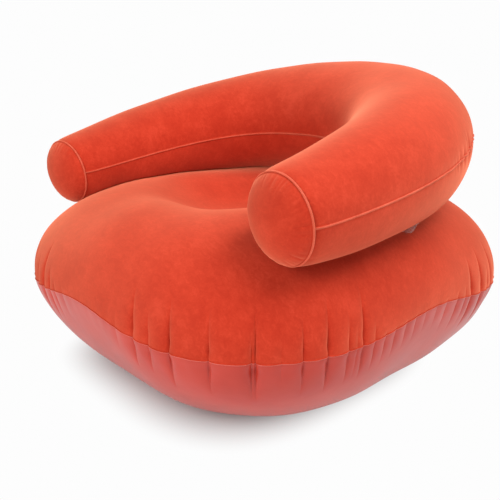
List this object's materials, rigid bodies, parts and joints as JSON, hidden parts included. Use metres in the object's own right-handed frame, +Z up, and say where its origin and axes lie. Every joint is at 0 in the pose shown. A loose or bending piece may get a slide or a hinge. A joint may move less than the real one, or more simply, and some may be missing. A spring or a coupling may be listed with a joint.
{
  "type": "inflatable armchair",
  "caption": "Inflatable armchair with a square pillow seat and a horseshoe tube that forms the back and both arms, with screw-in air valves at the rear.",
  "frame": {"origin": "middle of the footprint, on the floor", "axes": "+Z up; the sitter faces -Y; +X is to the sitter's left"},
  "size_m": [1.0842, 1.056, 0.762],
  "materials": {
    "flocked_sheet": "flocked PVC sheet, velvety",
    "vinyl_sheet": "smooth PVC sheet, semi-gloss",
    "clear_film": "clear PVC film",
    "valve_plastic": "soft moulded PVC",
    "valve_rubber": "silicone rubber"
  },
  "bodies": {
    "chair": {"seat_top_panel": "flocked_sheet", "seat_bottom_panel": "vinyl_sheet", "seat_tie_web": "vinyl_sheet", "tube_top_panel": "flocked_sheet", "tube_bottom_panel": "flocked_sheet", "left_end_disc": "flocked_sheet", "right_end_disc": "flocked_sheet", "left_arm_tab": "clear_film", "right_arm_tab": "clear_film", "back_tab": "clear_film", "seat_valve_base": "valve_plastic", "tube_valve_base": "valve_plastic"},
    "seat_seal": {"seat_valve_seal": "valve_rubber"},
    "seat_plug": {"seat_valve_plug": "valve_plastic"},
    "seat_cap": {"seat_valve_cap": "valve_plastic"},
    "seat_flap": {"seat_valve_flap": "valve_rubber"},
    "tube_seal": {"tube_valve_seal": "valve_rubber"},
    "tube_plug": {"tube_valve_plug": "valve_plastic"},
    "tube_cap": {"tube_valve_cap": "valve_plastic"},
    "tube_flap": {"tube_valve_flap": "valve_rubber"}
  },
  "joints": [
    {"name": "seat_plug_lift", "type": "slide", "parent": "chair", "child": "seat_seal", "axis": [0, 0.8348, -0.5506], "range_m": [0, 0.0045]},
    {"name": "seat_plug_screw", "type": "hinge", "parent": "seat_seal", "child": "seat_plug", "pos_m": [0, 0.47307, 0.1319], "axis": [0, 0.8348, -0.5506], "range_deg": [0, 540]},
    {"name": "seat_cap_flip", "type": "hinge", "parent": "seat_plug", "child": "seat_cap", "pos_m": [-0.0185, 0.47583, 0.13009], "axis": [0, 0.5506, 0.8348], "range_deg": [0, 150]},
    {"name": "seat_flap_swing", "type": "hinge", "parent": "seat_plug", "child": "seat_flap", "pos_m": [-0.0087, 0.46406, 0.13785], "axis": [0, -0.5506, -0.8348], "range_deg": [0, 60], "stiffness_Nm_per_rad": 0.0002, "springref_deg": -2.86},
    {"name": "tube_plug_lift", "type": "slide", "parent": "chair", "child": "tube_seal", "axis": [0, 0.9424, -0.3344], "range_m": [0, 0.0045]},
    {"name": "tube_plug_screw", "type": "hinge", "parent": "tube_seal", "child": "tube_plug", "pos_m": [0, 0.42953, 0.55923], "axis": [0, 0.9424, -0.3344], "range_deg": [0, 540]},
    {"name": "tube_cap_flip", "type": "hinge", "parent": "tube_plug", "child": "tube_cap", "pos_m": [-0.0185, 0.43264, 0.55812], "axis": [0, 0.3344, 0.9424], "range_deg": [0, 150]},
    {"name": "tube_flap_swing", "type": "hinge", "parent": "tube_plug", "child": "tube_flap", "pos_m": [-0.0087, 0.41935, 0.56284], "axis": [0, -0.3344, -0.9424], "range_deg": [0, 60], "stiffness_Nm_per_rad": 0.0002, "springref_deg": -2.86}
  ],
  "couplings": [
    {"joint": "seat_plug_screw", "follows": "seat_plug_lift", "rad_per_m": 2094.3},
    {"joint": "tube_plug_screw", "follows": "tube_plug_lift", "rad_per_m": 2094.3}
  ]
}
